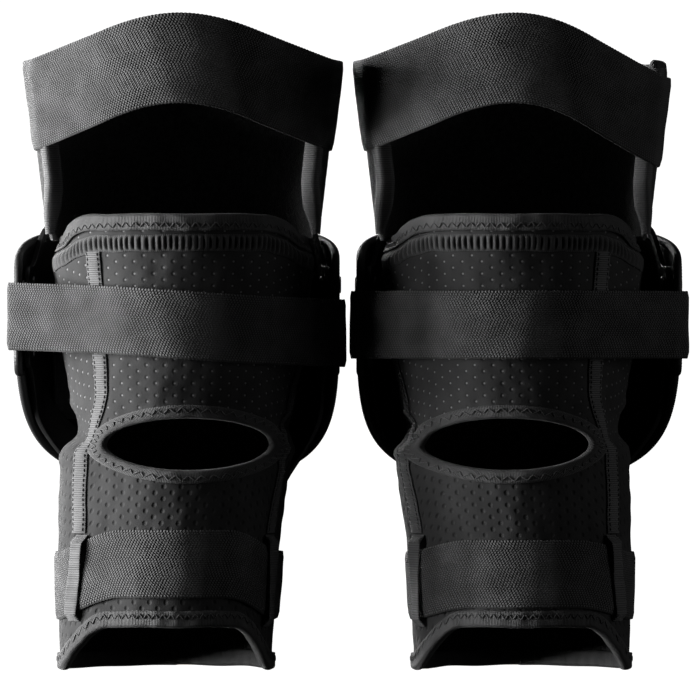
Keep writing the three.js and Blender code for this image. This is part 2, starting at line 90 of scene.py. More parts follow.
# How each guard was pulled on: heights of its straps, and how far the sleeve stands off the calf.
WORN = {
    "left": {"thigh_outer": 193, "knee_rise": 5, "shin_back": -79, "slack": (9.0, 0.0)},
    "right": {"thigh_outer": 183, "knee_rise": 0, "shin_back": -85, "slack": (5.0, 6.5)},
}

# ---------------------------------------------------------------- camera and lights, in metres and watts
CAMERA_TARGET, CAMERA_DISTANCE, CAMERA_LENS, CAMERA_SENSOR = (0, -0.07, 0.047), 4, 350, 36
BACKDROP_RADIUS, BACKDROP_GLOW, WORLD_GREY, WORLD_STRENGTH = 15, 1.1, 0.9, 0.003
LIGHT_TARGET = (0, 0, 0.05)
LIGHTS = [
    ("key", (-2.2, -0.02, 0.15), (0.7, 1.2), 160),
    ("left_fill", (-2.2, -0.8, 0.25), (0.4, 1.2), 24),
    ("right_fill", (2.2, -0.5, 0.3), (0.8, 1.4), 4.5),
    ("front_fill", (-1.4, 2.4, 0.9), (1.6, 1.6), 90),
]
HALF_TURN = 3.1416


# ---------------------------------------------------------------- numbers
def mix(a, b, t):
    return a + (b - a) * t


def smooth(start, end, x):
    t = np.clip((np.asarray(x, float) - start) / (end - start), 0, 1)
    return t * t * (3 - 2 * t)


def bell(x, centre, width):
    return np.exp(-(((x - centre) / width) ** 2))


def waves(u, v, size, seed=0):
    """A smooth, random-looking height from -1 to 1, with features about size across."""
    total = 0
    for k in range(6):
        turn = 2.4 * k + 1.7 * seed
        pitch = size * (0.75 + 0.16 * ((3 * k + seed) % 5))
        total = total + np.sin((u * np.cos(turn) + v * np.sin(turn)) * 6.28 / pitch + 5.1 * k + seed)
    return total / 4


def from_front(angle):
    return 180 - np.abs(180 - np.mod(np.asarray(angle, float), 360))


# ---------------------------------------------------------------- the surfaces everything follows
def oval_radius(a, half_width, half_depth, power):
    across = np.abs(np.sin(a) / half_width) ** power
    along = np.abs(np.cos(a) / half_depth) ** power
    return (across + along) ** (-1 / power)


def stack(*parts):
    return np.stack(np.broadcast_arrays(*parts), -1)


def leg(angle, z, off):
    z = np.asarray(z, float)
    a = np.radians(angle)
    half_width = 62.5 + 0.072 * z + 0.00014 * z * z
    half_depth = 62 + 0.07 * z + 0.00013 * z * z
    r = oval_radius(a, half_width, half_depth, 2) + off
    x = mix(2, -3.5, smooth(-100, 0, z)) + r * np.sin(a)
    y = np.where(z < 0, 0.09 * z, -0.015 * z) + r * np.cos(a)
    return stack(x, y, z)


def cup(angle, z, off):
    z = np.asarray(z, float)
    a = np.radians(angle)
    reach = CUP_REACH - CUP_DOME * ((z - CUP_MID) / CUP_HALF_HEIGHT) ** 2
    r = oval_radius(a, CUP_HALF_WIDTH, reach, CUP_SQUARENESS) + off
    return stack(r * np.sin(a), CUP_REAR + r * np.cos(a), z)


def eared(angle, z, off, ear_off):
    share = smooth(45, 62, np.abs(angle)) * smooth(140, 118, z)
    return mix(leg(angle, z, off), cup(angle, z, ear_off), share[..., None])


def shin_eared(angle, z, off, ear_off):
    share = smooth(45, 62, np.abs(angle)) * smooth(-42, 12, z)
    return mix(leg(angle, z, off), cup(angle, z, ear_off), share[..., None])


def shin_pad_thick(angle):
    return mix(SHIN_PAD_THICK, SHIN_PAD_EDGE, smooth(46, 76, np.abs(angle)))


def on_shin_pad(angle, z, off):
    return leg(angle, z, SHIN_PAD_IN + shin_pad_thick(angle) + off)


# ---------------------------------------------------------------- meshes
def make_piece(name, side, points, faces, uvs, look):
    """points in the guard's frame, in millimetres; faces as lists of point numbers; one uv per corner."""
    sign = SIDES[side]
    world = np.array(points, float) * (sign, 1, 1)
    world[:, 0] += sign * HALF_SPACING
    mesh = bpy.data.meshes.new(f"{side}_{name}_piece")
    mesh.from_pydata((world * MM).tolist(), [], faces)
    layer = mesh.uv_layers.new(name="UVMap")
    layer.data.foreach_set("uv", np.asarray(uvs, np.float32).ravel())
    mesh.polygons.foreach_set("use_smooth", [True] * len(mesh.polygons))
    corners = world[[f[0] for f in faces]], world[[f[1] for f in faces]], world[[f[2] for f in faces]]
    if np.einsum("ij,ij->", corners[0], np.cross(corners[1], corners[2])) < 0:
        mesh.flip_normals()
    mesh.materials.append(look)
    piece = bpy.data.objects.new(f"{side}_{name}_piece", mesh)
    bpy.context.scene.collection.objects.link(piece)
    return piece


def sweep(name, side, rings, look, closed=False, uv=None):
    """A solid from rings of points, shaped (stations, points round the section, 3)."""
    stations, around, _ = rings.shape
    if uv is None:
        step = np.linalg.norm(np.diff(rings.mean(1), axis=0), axis=1)
        along = np.concatenate([[0], np.cumsum(step), [step.sum() + step.mean()]])
        ring = rings[stations // 2]
        hop = np.linalg.norm(np.diff(ring, axis=0, append=ring[:1]), axis=1)
        across = np.concatenate([[0], np.cumsum(hop)])
        uv = np.stack(np.broadcast_arrays(along[:, None], across[None, :]), -1)
    i = np.arange(stations if closed else stations - 1)[:, None]
    j = np.arange(around)[None, :]
    i2, j2 = (i + 1) % stations, (j + 1) % around
    quads = np.stack([i * around + j, i * around + j2, i2 * around + j2, i2 * around + j], -1)
    corner = np.stack([uv[i, j], uv[i, j + 1], uv[i + 1, j + 1], uv[i + 1, j]], -2)
    faces, uvs = quads.reshape(-1, 4).tolist(), corner.reshape(-1, 2).tolist()
    if not closed:
        first = list(range(around))
        last = [(stations - 1) * around + k for k in reversed(range(around))]
        faces += [first, last]
        uvs += [uv[0, k].tolist() for k in first]
        uvs += [uv[stations - 1, k].tolist() for k in reversed(first)]
    return make_piece(name, side, rings.reshape(-1, 3), faces, uvs, look)


def pill_section(count, edge=4):
    """(across, through) pairs round a flat strip with rounded edges; both run from 0 to 1."""
    across = np.linspace(0, 1, count)
    turn = np.linspace(0, np.pi, edge + 2)[1:-1]
    outer = np.stack([across, np.ones(count)], 1)
    inner = outer[::-1] * (1, 0)
    end = np.stack([1 + 0.5 * np.sin(turn), 0.5 + 0.5 * np.cos(turn)], 1)
    start = np.stack([-0.5 * np.sin(turn), 0.5 - 0.5 * np.cos(turn)], 1)
    return outer, end, inner, start


def slab(name, side, place, look, columns, rows, height, thick, width, spread=False, closed=False):
    """A plate with rounded edges. place(u, v, w) gives the points: u along it, v up it, w through it."""
    outer, end, inner, start = pill_section(rows)
    bulge = thick / height
    end[:, 0] = 1 + bulge * (end[:, 0] - 1)
    start[:, 0] = bulge * start[:, 0]
    section = np.concatenate([outer, end, inner, start])
    u = np.linspace(0, 1, columns)
    if spread:
        u = 0.5 + 0.5 * np.sin(np.pi * (u - 0.5))
    if closed:
        u = u[:-1]
        taper = np.ones_like(u)
    else:
        nose = np.array([0.0, 0.25, 0.55, 0.85]) * thick * 0.5 / width
        u = np.unique(np.concatenate([nose, np.clip(u, nose[-1], 1 - nose[-1]), 1 - nose]))
        depth = np.minimum(u, 1 - u) * width / (thick * 0.5)
        taper = np.sqrt(np.clip(1 - (1 - np.clip(depth, 0, 1)) ** 2, 0.02, 1))
    v, w = section[None, :, 0], section[None, :, 1]
    w = 0.5 + (w - 0.5) * taper[:, None]
    rings = place(u[:, None] + 0 * v, v + 0 * u[:, None], w)
    tall = np.clip(section[:, 0], 0, 1) * height
    uv_u = np.concatenate([u, [1.0]]) * width
    uv_v = np.concatenate([tall, tall[:1]])
    uv = np.stack(np.broadcast_arrays(uv_u[:, None], uv_v[None, :]), -1)
    return sweep(name, side, rings, look, closed=closed, uv=uv)


def resample(path, step):
    """Rounds off a polyline and gives it points a step apart. Extra columns follow along."""
    path = np.asarray(path, float)
    for _ in range(3):
        middle = np.stack([mix(path[:-1], path[1:], 0.25), mix(path[:-1], path[1:], 0.75)], 1)
        path = np.concatenate([path[:1], middle.reshape(-1, path.shape[1]), path[-1:]])
    length = np.concatenate([[0], np.cumsum(np.linalg.norm(np.diff(path[:, :3], axis=0), axis=1))])
    at = np.linspace(0, length[-1], max(int(length[-1] / step), 2) + 1)
    return np.stack([np.interp(at, length, path[:, k]) for k in range(path.shape[1])], 1), at


def normals_along(path, up):
    """Unit outward directions: square to the path and to up."""
    run = np.gradient(path, axis=0)
    out = np.cross(run, up)
    return out / np.linalg.norm(out, axis=1, keepdims=True)


def lathe(name, side, profile, centre, axis, look, count=24):
    """A turned piece: profile holds (radius, distance along the axis)."""
    axis = np.array(axis, float) / np.linalg.norm(axis)
    first = np.cross(axis, (0, 0, 1))
    first /= np.linalg.norm(first)
    second = np.cross(axis, first)
    turn = np.linspace(0, 2 * np.pi, count, endpoint=False)
    circle = np.cos(turn)[:, None] * first + np.sin(turn)[:, None] * second
    rings = [np.array(centre) + max(r, 0.02) * circle + along * axis for r, along in profile]
    return sweep(name, side, np.array(rings), look)


def stitches(name, side, starts, ends, outs, look, radius=0.28, lift=0.2):
    """Threads lying on a surface, each a short capsule from a start to an end, bowed outward."""
    along = np.array([0, 0.08, 0.3, 0.7, 0.92, 1.0])
    thick = np.array([0.3, 0.9, 1, 1, 0.9, 0.3]) * radius
    turn = np.linspace(0, 2 * np.pi, 6, endpoint=False)
    run = ends - starts
    aside = np.cross(run, outs)
    aside /= np.linalg.norm(aside, axis=1, keepdims=True)
    bow = lift * np.sin(np.pi * along)
    centre = starts[:, None] + run[:, None] * along[:, None] + outs[:, None] * bow[:, None]
    circle = np.cos(turn)[:, None] * aside[:, None, None] + np.sin(turn)[:, None] * outs[:, None, None]
    points = centre[:, :, None] + circle * thick[:, None, None]
    count, stations, around, _ = points.shape
    base = np.arange(count)[:, None, None] * stations * around
    i, j = np.arange(stations - 1)[:, None], np.arange(around)[None, :]
    j2 = (j + 1) % around
    quads = np.stack([i * around + j, i * around + j2, (i + 1) * around + j2, (i + 1) * around + j], -1)
    faces = (base[..., None] + quads).reshape(-1, 4).tolist()
    for k in range(count):
        first = k * stations * around
        faces.append(list(range(first + around - 1, first - 1, -1)))
        faces.append([first + (stations - 1) * around + n for n in range(around)])
    uvs = [(n % 4 * 0.3, n // 4 % 2 * 0.3) for n in range(sum(len(f) for f in faces))]
    return make_piece(name, side, points.reshape(-1, 3), faces, uvs, look)


# ---------------------------------------------------------------- materials
class Look:
    """A material whose colour, roughness and bump come from nodes."""

    def __init__(self, name, roughness=0.8, metallic=0.0, sheen=0.0, specular=0.5):
        self.material = bpy.data.materials.new(name)
        self.material.use_nodes = True
        self.tree = self.material.node_tree
        self.shader = self.tree.nodes["Principled BSDF"]
        self.shader.inputs["Roughness"].default_value = roughness
        self.shader.inputs["Metallic"].default_value = metallic
        self.shader.inputs["Sheen Weight"].default_value = sheen
        self.shader.inputs["Sheen Roughness"].default_value = 0.4
        self.shader.inputs["Specular IOR Level"].default_value = specular

    def node(self, kind, **inputs):
        made = self.tree.nodes.new(kind)
        for name, value in inputs.items():
            self.feed(made.inputs[name.replace("_", " ")], value)
        return made

    def feed(self, socket, value):
        if isinstance(value, bpy.types.NodeSocket):
            self.tree.links.new(value, socket)
        else:
            socket.default_value = value

    def math(self, operation, *values):
        made = self.tree.nodes.new("ShaderNodeMath")
        made.operation = operation
        for socket, value in zip(made.inputs, values):
            self.feed(socket, value)
        return made.outputs[0]

    def uv(self):
        made = self.tree.nodes.new("ShaderNodeUVMap")
        made.uv_map = "UVMap"
        split = self.node("ShaderNodeSeparateXYZ", Vector=made.outputs[0])
        return split.outputs[0], split.outputs[1]

    def noise(self, scale, detail=3.0):
        where = self.node("ShaderNodeTexCoord").outputs["Object"]
        made = self.node("ShaderNodeTexNoise", Vector=where, Scale=scale, Detail=detail)
        return made.outputs["Fac"]

    def ramp(self, value, low, high, to_low=0.0, to_high=1.0):
        made = self.tree.nodes.new("ShaderNodeMapRange")
        made.interpolation_type = "SMOOTHSTEP"
        for socket, number in zip(made.inputs, (value, low, high, to_low, to_high)):
            self.feed(socket, number)
        return made.outputs[0]

    def shade(self, factor, dark, light):
        """Grey from dark to light as factor goes from 0 to 1."""
        made = self.tree.nodes.new("ShaderNodeMix")
        made.data_type = "RGBA"
        self.feed(made.inputs[0], factor)
        for socket, grey in ((made.inputs[6], dark), (made.inputs[7], light)):
            linked = isinstance(grey, bpy.types.NodeSocket)
            self.feed(socket, grey if linked else (grey, grey, grey * 1.02, 1))
        return made.outputs[2]

    def ribs(self, along, rate):
        """Rounded ridges from 0 to 1, one for every half turn of along times rate."""
        return self.math("ABSOLUTE", self.math("SINE", self.math("MULTIPLY", along, rate)))

    def alternate(self, row):
        """0 on even rows and a half on odd ones."""
        return self.math("MULTIPLY", self.math("PINGPONG", self.math("FLOOR", row), 1.0), 0.5)

    def average(self, first, second):
        return self.math("ADD", self.math("MULTIPLY", first, 0.5), self.math("MULTIPLY", second, 0.5))

    def finish(self, colour, height=None, depth=0.2, roughness=None):
        self.feed(self.shader.inputs["Base Color"], colour)
        if roughness is not None:
            self.feed(self.shader.inputs["Roughness"], roughness)
        if height is not None:
            bump = self.node("ShaderNodeBump", Height=height, Distance=depth * MM, Strength=1.0)
            self.feed(self.shader.inputs["Normal"], bump.outputs[0])
        return self.material


def woven_elastic(name, dark, light):
    """Elastic webbing: staggered floats, with a slow change of direction across the width; the floats are
    painted lighter and the gaps between them darker, as painted highlight and painted shade.
    """
    look = Look(name, roughness=0.75, sheen=0.15)
    u, v = look.uv()
    row = look.math("DIVIDE", v, 1.25)
    odd = look.alternate(row)
    lean = look.math("MULTIPLY", look.math("PINGPONG", row, 9.0), 0.22)
    column = look.math("ADD", look.math("DIVIDE", u, 1.85), look.math("ADD", odd, lean))
    float_wave = look.ribs(column, HALF_TURN)
    row_wave = look.ribs(row, HALF_TURN)
    height = look.math("MULTIPLY", float_wave, look.math("POWER", row_wave, 0.6))
    worn = look.ramp(look.noise(60.0), 0.3, 0.75, 0.0, 0.35)
    # Painted highlight and painted shade: tone follows the weave's height, lighter on the floats and darker
    # between them; worn adds random lighter patches.
    tone = look.ramp(height, 0.15, 0.95)
    tone = look.math("ADD", look.math("MULTIPLY", tone, 0.65), worn)
    return look.finish(look.shade(tone, dark, light), height, 0.6)


def ribbed_tape(name, dark, light, pitch=1.3):
    """Grosgrain: ribs across the tape, painted lighter on their crowns and darker between them as painted
    highlight and painted shade.
    """
    look = Look(name, roughness=0.7, sheen=0.2)
    u, v = look.uv()
    rib = look.ribs(u, HALF_TURN / pitch)
    thread = look.ribs(v, HALF_TURN / 0.7)
    height = look.math("ADD", rib, look.math("MULTIPLY", thread, 0.2))
    worn = look.ramp(look.noise(90.0), 0.3, 0.7, 0.75, 1.0)
    # Painted highlight and painted shade: the rib crowns are painted lighter and the grooves between ribs
    # darker; worn darkens it at random.
    tone = look.math("MULTIPLY", look.ramp(rib, 0.0, 0.9, 0.25, 1.0), worn)
    return look.finish(look.shade(tone, dark, light), height, 0.2)


def perforated_neoprene(name, dark, light, dots):
    """A knitted face with staggered holes, whose dimples are painted darker as painted shade; dots is the
    grey of the light ones above the opening.
    """
    look = Look(name, roughness=0.9, sheen=0.1)
    u, v = look.uv()
    across, up = 11.0, 3.6
    row = look.math("DIVIDE", v, up)
    odd = look.alternate(row)
    cell_u = look.math("FRACT", look.math("ADD", look.math("DIVIDE", u, across), odd))
    from_u = look.math("MULTIPLY", look.math("SUBTRACT", cell_u, 0.5), across)
    from_v = look.math("MULTIPLY", look.math("SUBTRACT", look.math("FRACT", row), 0.5), up)
    squares = look.math("ADD", look.math("POWER", look.math("ABSOLUTE", from_u), 2.0),
                        look.math("POWER", look.math("ABSOLUTE", from_v), 2.0))
    distance = look.math("SQRT", squares)
    hole = look.ramp(distance, 0.3, 0.85, 1.0, 0.0)
    dimple = look.ramp(distance, 0.3, 1.9, 1.0, 0.0)
    knit = look.noise(1500.0, 2.0)
    cloudy = look.ramp(look.noise(35.0), 0.3, 0.7)
    fabric = look.shade(look.average(knit, cloudy), dark, light)
    # Painted shade: the fabric is darkened towards dark * 0.4 in each dimple round a hole.
    shaded_dimples = look.shade(look.math("MULTIPLY", dimple, 0.55), fabric, dark * 0.4)
    above = look.ramp(v, 116.0, 128.0)
    shown = look.math("MULTIPLY", hole, above)
    colour = look.shade(look.math("MULTIPLY", shown, 0.8), shaded_dimples, dots)
    depth = look.math("MULTIPLY", dimple, look.ramp(above, 0.0, 1.0, 1.0, 0.45))
    height = look.math("SUBTRACT", look.math("MULTIPLY", knit, 0.2), depth)
    return look.finish(colour, height, 0.5)


def fuzzy(name, dark, light):
    """Loop fabric: short tangled pile, painted lighter on its highest tufts and darker in its hollows as
    painted highlight and painted shade.
    """
    look = Look(name, roughness=0.95, sheen=0.5)
    fine, coarse = look.noise(1300.0, 4.0), look.noise(300.0, 3.0)
    height = look.math("ADD", fine, look.math("MULTIPLY", coarse, 0.8))
    # Painted highlight and painted shade: tone follows the pile's height, lighter on the tufts and darker
    # in the hollows.
    tone = look.ramp(height, 0.65, 1.15)
    return look.finish(look.shade(tone, dark, light), height, 0.9)


def moulded(name, grey, roughness, grain=1100.0, depth=0.05, specular=0.5):
    """Moulded plastic or rubber with a fine grain, rubbed smoother in places."""
    look = Look(name, roughness=roughness, specular=specular)
    rub = look.noise(22.0)
    fine = look.noise(grain, 2.0)
    scuffs = look.ramp(look.noise(140.0, 6.0), 0.6, 0.72, 0.0, 0.5)
    tone = look.math("ADD", look.math("MULTIPLY", rub, 0.4), scuffs)
    rough = look.ramp(rub, 0.3, 0.7, roughness * 0.85, roughness * 1.15)
    return look.finish(look.shade(tone, grey * 0.75, grey * 1.6), fine, depth, rough)


def lining_cloth(name, dark, light):
    """Brushed tricot: a fine diagonal knit, painted lighter on its ridges and darker in its grooves as
    painted highlight and painted shade.
    """
    look = Look(name, roughness=0.85, sheen=0.3)
    u, v = look.uv()
    slant = look.math("ADD", look.math("MULTIPLY", u, 2.6), look.math("MULTIPLY", v, 3.7))
    knit = look.math("ABSOLUTE", look.math("SINE", slant))
    height = look.math("ADD", knit, look.math("MULTIPLY", look.noise(400.0), 0.6))
    # Painted highlight and painted shade: the colour follows the knit's height, lighter on its ridges and
    # darker in its grooves.
    return look.finish(look.shade(look.ramp(height, 0.2, 1.4), dark, light), height, 0.12)


def brushed_metal(name, grey):
    look = Look(name, roughness=0.35, metallic=0.9)
    worn = look.noise(260.0, 5.0)
    rough = look.ramp(worn, 0.3, 0.7, 0.28, 0.5)
    return look.finish(look.shade(worn, grey * 0.6, grey * 1.3), worn, 0.03, rough)


LOOKS = {
    "strap": woven_elastic("elastic_webbing", 0.008, 0.11),
    "grosgrain": ribbed_tape("grosgrain_tape", 0.016, 0.11),
    "binding": ribbed_tape("edge_binding", 0.014, 0.055, 0.9),
    "neoprene": perforated_neoprene("perforated_neoprene", 0.014, 0.036, 0.22),
    "ruffle": lining_cloth("gathered_elastic", 0.012, 0.06),
    "loop": fuzzy("loop_fabric", 0.006, 0.05),
    "foam": lining_cloth("padded_lining", 0.015, 0.06),
    "shell": moulded("moulded_shell", 0.011, 0.34),
    "rubber": moulded("rubber_trim", 0.016, 0.55, 700.0, 0.08),
    "tab": moulded("hook_tab", 0.014, 0.5),
    "thread": lining_cloth("stitching", 0.03, 0.1),
    "steel": brushed_metal("dark_steel", 0.12),
}


def join_guard(piece, side, body, look, *nodes):
    """Hangs a piece on a guard's body, in place of the CAD nodes that it stands for."""
    if body == "flex":
        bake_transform(piece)
    else:
        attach(piece, f"{side}_{body}")
    if nodes:
        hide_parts(*[f"{side}_{node}" for node in nodes])
    return piece


# ---------------------------------------------------------------- sleeve
def sleeve_top(angle):
    return mix(SLEEVE_TOP_SIDE, SLEEVE_TOP_BACK, smooth(98, 140, from_front(angle)))


def hem_height(angle):
    return mix(HEM_FRONT, HEM_BACK, smooth(100, 142, from_front(angle)))


def sleeve_off(side, angle, z):
    """How far the sleeve stands off the leg: loose at the sides, drawn in at the knee's crease."""
    angle = np.mod(angle, 360)
    front = from_front(angle)
    slack = np.where(angle < 180, *WORN[side]["slack"])
    sides = smooth(78, 97, front) * smooth(150, 106, front)
    off = SLEEVE_OUT + slack * sides * smooth(-4, -17, z)
    crease = smooth(72, 90, front) * smooth(132, 104, front)
    off = off + crease * (-4.5 * bell(z, 2, 7) + 1.8 * bell(z, -11, 4) + 2.6 * smooth(18, 45, z))
    off = off + crease * (1.5 * bell(z, 97, 7) - 6.5 * smooth(101, 112, z))
    off = off + 0.5 * waves(angle * 1.18, z, 34, 1) + 0.25 * waves(angle * 1.18, z, 13, 2)
    return off + crease * 0.7 * np.sin(z * 0.55 + 0.06 * angle) * bell(z, -2, 24)


def make_sleeve(side):
    def place(u, v, w):
        angle = 360 * u
        z = mix(hem_height(angle), sleeve_top(angle), v)
        return leg(angle, z, sleeve_off(side, angle, z) - SLEEVE_THICK * (1 - w))

    sleeve = slab("sleeve", side, place, LOOKS["neoprene"], 221, 110, 240, SLEEVE_THICK, SLEEVE_GIRTH,
                  closed=True)
    turn = np.linspace(0, 2 * np.pi, 96, endpoint=False)
    ellipse = stack(OPENING_X + OPENING_HALF_WIDTH * np.cos(turn), 0 * turn,
                    OPENING_Z + OPENING_HALF_HEIGHT * np.sin(turn))
    ends = np.stack([ellipse - (0, 95, 0), ellipse - (0, 12, 0)])
    cut_away(sleeve, sweep("cutter", side, ends, LOOKS["neoprene"]))
    return join_guard(sleeve, side, "flex", "neoprene", "sleeve_upper", "sleeve_flex", "sleeve_lower")


def cut_away(piece, tool):
    modifier = piece.modifiers.new("cut", "BOOLEAN")
    modifier.operation = "DIFFERENCE"
    modifier.object = tool
    modifier.solver = "EXACT"
    apply_modifiers(piece)
    bpy.data.objects.remove(tool)


def apply_modifiers(piece):
    shaped = piece.evaluated_get(bpy.context.evaluated_depsgraph_get())
    mesh = bpy.data.meshes.new_from_object(shaped)
    piece.modifiers.clear()
    piece.data = mesh
    mesh.polygons.foreach_set("use_smooth", [True] * len(mesh.polygons))


def fold_section(reach, thick, rise):
    """A tape folded over an edge at height 0: (out from the leg's surface, up), closed on itself."""
    bend = np.linspace(0, np.pi, 9)
    middle, half = 2.0, 2.35
    outer = stack(middle + (half + thick) * np.cos(bend), rise + (half * 0.5 + thick) * np.sin(bend))
    inner = stack(middle + half * np.cos(bend[::-1]), rise + half * 0.5 * np.sin(bend[::-1]))
    down = np.linspace(0, -reach, 6)[1:]
    legs = [
        stack(middle - half - thick + 0 * down, down),
        stack(middle - half + 0 * down, down[::-1]),
        stack(middle + half + 0 * down, down),
        stack(middle + half + thick + 0 * down, down[::-1]),
    ]
    return np.concatenate([outer, legs[0], legs[1], inner, legs[2], legs[3]])


def folded_hem(name, side, edge_height, upward, nodes, body):
    """The binding over the sleeve's upper or lower edge, with its zigzag seam."""
    section = fold_section(7.5, 0.9, 0.4)
    overlap_at = 128 if upward > 0 else 236
    angles = np.linspace(0, 360, 361)[:-1][:, None]
    lap = 0.7 * bell(np.mod(angles, 360), overlap_at, 14)
    out = section[None, :, 0] - SLEEVE_OUT
    up = section[None, :, 1] * upward
    z = edge_height(angles) + up + 0.5 * waves(angles * 1.18, 0, 40, 3) + lap * upward * 1.6
    off = sleeve_off(side, angles, z) + out + lap + 0.25 * waves(angles * 1.18, z, 9, 4)
    rings = leg(angles, z, off)
    hem = sweep(name, side, rings, LOOKS["binding"], closed=True)
    join_guard(hem, side, body, "binding", *nodes)

    pitch = 2.6
    count = int(SLEEVE_GIRTH / pitch) // 2 * 2
    corner = np.linspace(0, 360, count + 1)
    low = np.arange(count + 1) % 2
    z = edge_height(corner) - upward * (2.6 + 3.2 * low) + 0.5 * waves(corner * 1.18, 0, 40, 3)
    off = sleeve_off(side, corner, z) + 1.85 + 0.7 * bell(corner, overlap_at, 14)
    points = leg(corner, z, off)
    outs = leg(corner, z, off + 1) - points
    seam = stitches(name + "_stitches", side, points[:-1], points[1:], outs[:-1], LOOKS["thread"])
    join_guard(seam, side, body, "thread")
    return hem


def make_gather_band(side):
    """Elastic sewn on stretched, so that it draws up into small puckers."""
    def place(u, v, w):
        angle = mix(102, 258, u)
        along = angle * 1.3
        z = sleeve_top(angle) + mix(-19.0, -10.6, v) + 0.5 * waves(along, 0, 17, 5)
        pucker = np.abs(np.sin(along * np.pi / 3.7 + 0.9 * waves(along, 0, 23, 6))) ** 0.7
        swell = np.sin(np.pi * np.clip(v, 0, 1)) ** 0.5 * smooth(100, 122, from_front(angle))
        off = sleeve_off(side, angle, z) + 0.3 + w * (0.7 + 1.7 * pucker * swell)
        return leg(angle, z, off)

    band = slab("gather_band", side, place, LOOKS["ruffle"], 520, 12, 8.4, 1.6, 200)
    return join_guard(band, side, "knee", "ruffle", "gather_band")


def back_angle(x, z, off):
    """The angle behind the leg at which the surface has this x."""
    angle = 180 + 0 * (x + z)
    for _ in range(40):
        here = leg(angle, z, off)[..., 0]
        angle = np.clip(angle + (here - x) / 1.25, 96, 264)
    return angle


def make_opening_binding(side):
    """The stitched tape round the oval opening behind the knee."""
    turn = np.linspace(0, 2 * np.pi, 241)[:-1]
    # The folded tape's section, out from the oval's edge and up from the sleeve's face.
    outline_reach = np.array([
        0.2, 1.6, 3.2, 4.8, 6.2, 6.2, 4.8, 3.2, 1.6, 0.2, -0.9,
        -1.2, -0.9, 0.2, 3.0, 3.0, 0.2, -1.4, -1.9, -1.5, -0.9,
    ])
    outline_lift = np.array([
        1.2, 1.3, 1.3, 1.25, 1.0, 0.1, 0.1, 0.1, 0.1, 0.0, -0.8,
        -1.6, -2.6, -3.3, -3.4, -4.0, -4.1, -3.6, -1.6, 0.0, 0.9,
    ])

    def at(turn, reach, lift):
        x = OPENING_X + (OPENING_HALF_WIDTH + reach) * np.cos(turn)
        z = OPENING_Z + (OPENING_HALF_HEIGHT + reach) * np.sin(turn)
        angle = back_angle(x, z, SLEEVE_OUT)
        return leg(angle, z, sleeve_off(side, angle, z) + lift), angle, z

    rings, _, _ = at(turn[:, None], outline_reach[None, :], outline_lift[None, :])
    tape = sweep("opening_binding", side, rings, LOOKS["binding"], closed=True)
    join_guard(tape, side, "flex", "binding", "opening_binding")

    count = 92
    corner = np.linspace(0, 2 * np.pi, count + 1)
    wobble = np.where(np.arange(count + 1) % 2, 1.6, 4.6)
    points, angle, z = at(corner, wobble, 1.45)
    outs = leg(angle, z, 1) - leg(angle, z, 0)
    seam = stitches("opening_stitches", side, points[:-1], points[1:], outs[:-1], LOOKS["thread"])
    join_guard(seam, side, "flex", "thread")
    return tape


def tape_angle(which, z):
    if which == "outer":
        return 180 - mix(57, 44, smooth(-15, 25, z))
    return 180 + mix(64, 84, smooth(-70, 110, z))


def make_seam_tape(side, which):
    """A ribbed tape over a seam beside the back panel, sewn down along both edges."""
    top = sleeve_top(tape_angle(which, 100)) - 19.4
    half = 5.0

    def at(z, across, lift):
        angle = tape_angle(which, z) + 0.6 * waves(z, 0, 60, 7)
        angle = angle + np.degrees(across / 69)
        return leg(angle, z, sleeve_off(side, angle, z) + lift)

    def place(u, v, w):
        z = mix(TAPE_BOTTOM, top, u)
        rib = 0.12 * np.abs(np.sin(z * np.pi / 1.3))
        crown = 0.5 * np.sin(np.pi * np.clip(v, 0, 1)) ** 0.5
        return at(z, mix(-half, half, v), 0.25 + w * (0.7 + rib) + crown)

    tape = slab(f"seam_tape_{which}", side, place, LOOKS["grosgrain"], 520, 8, 10, 1, 170)
    join_guard(tape, side, "flex", "grosgrain", f"seam_tape_{which}")
    starts, ends = [], []
    z = np.arange(TAPE_BOTTOM + 1.5, top - 2, 2.9)
    for across in (-half + 1.1, half - 1.1):
        starts.append(at(z, across, 1.45))
        ends.append(at(z + 1.9, across, 1.45))
    starts, ends = np.concatenate(starts), np.concatenate(ends)
    outs = starts * (1, 1, 0)
    outs /= np.linalg.norm(outs, axis=1, keepdims=True)
    seam = stitches(f"seam_{which}_stitches", side, starts, ends, outs, LOOKS["thread"], 0.24)
    join_guard(seam, side, "flex", "thread")
    return tape


